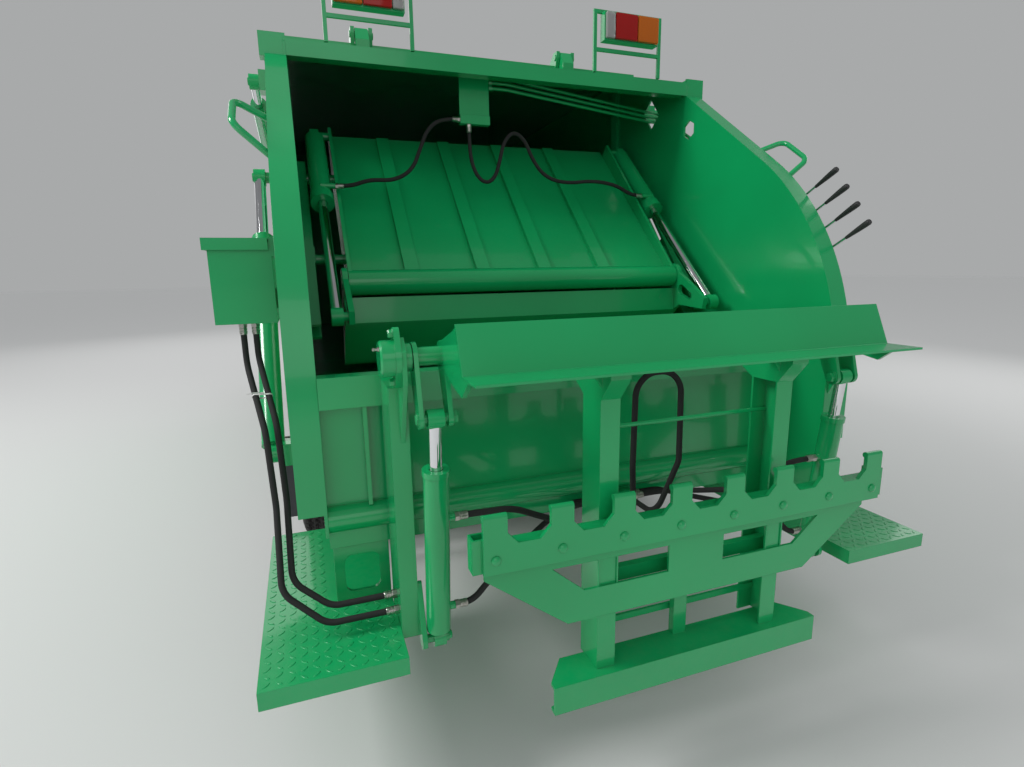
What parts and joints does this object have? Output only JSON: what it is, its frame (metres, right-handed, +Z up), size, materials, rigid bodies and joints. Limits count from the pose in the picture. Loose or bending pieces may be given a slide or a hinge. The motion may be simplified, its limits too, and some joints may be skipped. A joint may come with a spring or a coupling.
{
  "type": "rear-loading garbage truck",
  "caption": "Rear-loading compactor truck with open hopper, sliding packer, bin lifter, hinged tailgate and tilting cab.",
  "frame": {"origin": "middle of the truck's length and width, on the ground under the wheels", "axes": "+X to the truck's right side, +Y towards the cab, +Z up"},
  "size_m": [2.48, 7.3, 2.6699],
  "materials": {
    "green_enamel": "glossy enamel",
    "chrome_rod": "hard chrome",
    "lever_steel": "satin",
    "chassis_black": "satin",
    "engine_iron": "cast",
    "tank_steel": "satin",
    "bumper_paint": "gloss",
    "cab_paint": "gloss",
    "clear_glass": "clear",
    "dark_plastic": "matte",
    "seat_cloth": "woven",
    "tyre_rubber": "matte",
    "wheel_steel": "satin",
    "hose_rubber": "smooth",
    "flap_rubber": "matte"
  },
  "bodies": {
    "chassis": {"chassis_frame": "chassis_black", "front_axle": "chassis_black", "rear_axle": "chassis_black", "engine_block": "engine_iron", "side_tanks": "tank_steel", "front_bumper": "bumper_paint", "body_sides": "green_enamel", "body_floor": "green_enamel", "body_roof": "green_enamel", "rear_portal": "green_enamel", "guards": "chassis_black", "mudflaps": "flap_rubber"},
    "tie_rod": {"tie_rod": "chassis_black"},
    "knuckle_right": {"knuckle_right": "chassis_black"},
    "knuckle_left": {"knuckle_left": "chassis_black"},
    "front_wheel_right": {"front_wheel_right": "wheel_steel", "front_tyre_right": "tyre_rubber"},
    "front_wheel_left": {"front_wheel_left": "wheel_steel", "front_tyre_left": "tyre_rubber"},
    "rear_wheels_right": {"rear_wheels_right": "wheel_steel", "rear_tyres_right": "tyre_rubber"},
    "rear_wheels_left": {"rear_wheels_left": "wheel_steel", "rear_tyres_left": "tyre_rubber"},
    "cab": {"cab_shell": "cab_paint", "cab_glass": "clear_glass", "cab_trim": "dark_plastic", "mirrors": "dark_plastic", "seats": "seat_cloth", "dashboard": "dark_plastic"},
    "door_right": {"door_right": "cab_paint", "door_glass_right": "clear_glass"},
    "door_left": {"door_left": "cab_paint", "door_glass_left": "clear_glass"},
    "tailgate": {"tailgate_walls": "green_enamel", "tailgate_frame": "green_enamel", "hopper_trough": "green_enamel", "lamp_frames": "green_enamel", "foot_plates": "green_enamel", "lifter_columns": "green_enamel", "control_box": "green_enamel", "control_levers": "lever_steel", "carriage_barrels": "green_enamel", "lifter_hoses": "hose_rubber", "side_hoses": "hose_rubber", "packer_hoses": "hose_rubber"},
    "control_lid": {"control_lid": "green_enamel"},
    "carriage": {"carriage_frame": "green_enamel", "carriage_rods": "chrome_rod"},
    "blade": {"packer_blade": "green_enamel"},
    "blade_barrels": {"blade_barrels": "green_enamel"},
    "blade_rods": {"blade_rods": "chrome_rod"},
    "lift_barrels": {"lift_barrels": "green_enamel"},
    "lift_rods": {"lift_rods": "chrome_rod"},
    "lifter": {"lifter_frame": "green_enamel", "lifter_comb": "green_enamel", "lifter_deflector": "green_enamel"},
    "lifter_barrels": {"lifter_barrels": "green_enamel"},
    "lifter_rods": {"lifter_rods": "chrome_rod"},
    "ejector": {"ejector": "green_enamel"}
  },
  "joints": [
    {"name": "steer_right", "type": "hinge", "parent": "chassis", "child": "knuckle_right", "pos_m": [0.74, 2.51, 0.4], "axis": [0, 0, 1], "range_deg": [-30, 30]},
    {"name": "steer_left", "type": "hinge", "parent": "chassis", "child": "knuckle_left", "pos_m": [-0.74, 2.51, 0.4], "axis": [0, 0, 1], "range_deg": [-31, 31]},
    {"name": "tie_rod_shift", "type": "slide", "parent": "chassis", "child": "tie_rod", "axis": [1, 0, 0], "range_m": [-0.085, 0.085]},
    {"name": "front_wheel_right_spin", "type": "hinge", "parent": "knuckle_right", "child": "front_wheel_right", "pos_m": [0.88, 2.51, 0.4], "axis": [1, 0, 0], "continuous": true},
    {"name": "rear_wheels_right_spin", "type": "hinge", "parent": "chassis", "child": "rear_wheels_right", "pos_m": [0.86, -1.44, 0.4], "axis": [1, 0, 0], "continuous": true},
    {"name": "front_wheel_left_spin", "type": "hinge", "parent": "knuckle_left", "child": "front_wheel_left", "pos_m": [-0.88, 2.51, 0.4], "axis": [1, 0, 0], "continuous": true},
    {"name": "rear_wheels_left_spin", "type": "hinge", "parent": "chassis", "child": "rear_wheels_left", "pos_m": [-0.86, -1.44, 0.4], "axis": [1, 0, 0], "continuous": true},
    {"name": "cab_tilt", "type": "hinge", "parent": "chassis", "child": "cab", "pos_m": [0, 3.51, 0.69], "axis": [-1, 0, 0], "range_deg": [0, 45]},
    {"name": "door_right_swing", "type": "hinge", "parent": "cab", "child": "door_right", "pos_m": [1.014, 3.174, 1.175], "axis": [0, 0, 1], "range_deg": [0, 65]},
    {"name": "door_left_swing", "type": "hinge", "parent": "cab", "child": "door_left", "pos_m": [-1.014, 3.174, 1.175], "axis": [0, 0, -1], "range_deg": [0, 65]},
    {"name": "tailgate_swing", "type": "hinge", "parent": "chassis", "child": "tailgate", "pos_m": [0, -1.44, 2.64], "axis": [-1, 0, 0], "range_deg": [0, 75]},
    {"name": "lift_barrel_turn", "type": "hinge", "parent": "chassis", "child": "lift_barrels", "pos_m": [0, -0.54, 2.23], "axis": [1, 0, 0], "range_deg": [-16.03, 0.5]},
    {"name": "lift_rod_slide", "type": "slide", "parent": "lift_barrels", "child": "lift_rods", "axis": [0, -0.9955, 0.0948], "range_m": [-0.004, 0.2754]},
    {"name": "carriage_slide", "type": "slide", "parent": "tailgate", "child": "carriage", "axis": [0, -0.6428, -0.766], "range_m": [0, 0.325]},
    {"name": "blade_swing", "type": "hinge", "parent": "carriage", "child": "blade", "pos_m": [0, -2.27, 1.4], "axis": [-1, 0, 0], "range_deg": [0, 85]},
    {"name": "blade_barrel_turn", "type": "hinge", "parent": "carriage", "child": "blade_barrels", "pos_m": [0, -1.61, 2.1], "axis": [1, 0, 0], "range_deg": [-12.11, 0.5]},
    {"name": "blade_rod_slide", "type": "slide", "parent": "blade_barrels", "child": "blade_rods", "axis": [0, -0.7354, -0.6776], "range_m": [-0.2809, 0.004]},
    {"name": "lifter_swing", "type": "hinge", "parent": "tailgate", "child": "lifter", "pos_m": [0, -3.325, 1.235], "axis": [-1, 0, 0], "range_deg": [0, 130]},
    {"name": "lifter_barrel_turn", "type": "hinge", "parent": "tailgate", "child": "lifter_barrels", "pos_m": [0, -3.305, 0.425], "axis": [1, 0, 0], "range_deg": [-0.99, 0.5]},
    {"name": "lifter_rod_slide", "type": "slide", "parent": "lifter_barrels", "child": "lifter_rods", "axis": [0, -0.1129, 0.9936], "range_m": [-0.004, 0.2935]},
    {"name": "ejector_slide", "type": "slide", "parent": "chassis", "child": "ejector", "axis": [0, -1, 0], "range_m": [0, 2.25]},
    {"name": "control_lid_swing", "type": "hinge", "parent": "tailgate", "child": "control_lid", "pos_m": [-1.034, -2.79, 1.545], "axis": [0, 1, 0], "range_deg": [0, 90]}
  ],
  "couplings": [
    {"joint": "steer_left", "follows": "steer_right", "ratio": 1},
    {"joint": "tie_rod_shift", "follows": "steer_right", "m_per_rad": 0.1576},
    {"joint": "lift_barrel_turn", "follows": "tailgate_swing", "ratio": -0.2071},
    {"joint": "lift_rod_slide", "follows": "tailgate_swing", "m_per_rad": 0.20731},
    {"joint": "blade_barrel_turn", "follows": "blade_swing", "ratio": -0.13658},
    {"joint": "blade_rod_slide", "follows": "blade_swing", "m_per_rad": -0.18663},
    {"joint": "lifter_barrel_turn", "follows": "lifter_swing", "ratio": -0.003782},
    {"joint": "lifter_rod_slide", "follows": "lifter_swing", "m_per_rad": 0.1276}
  ]
}
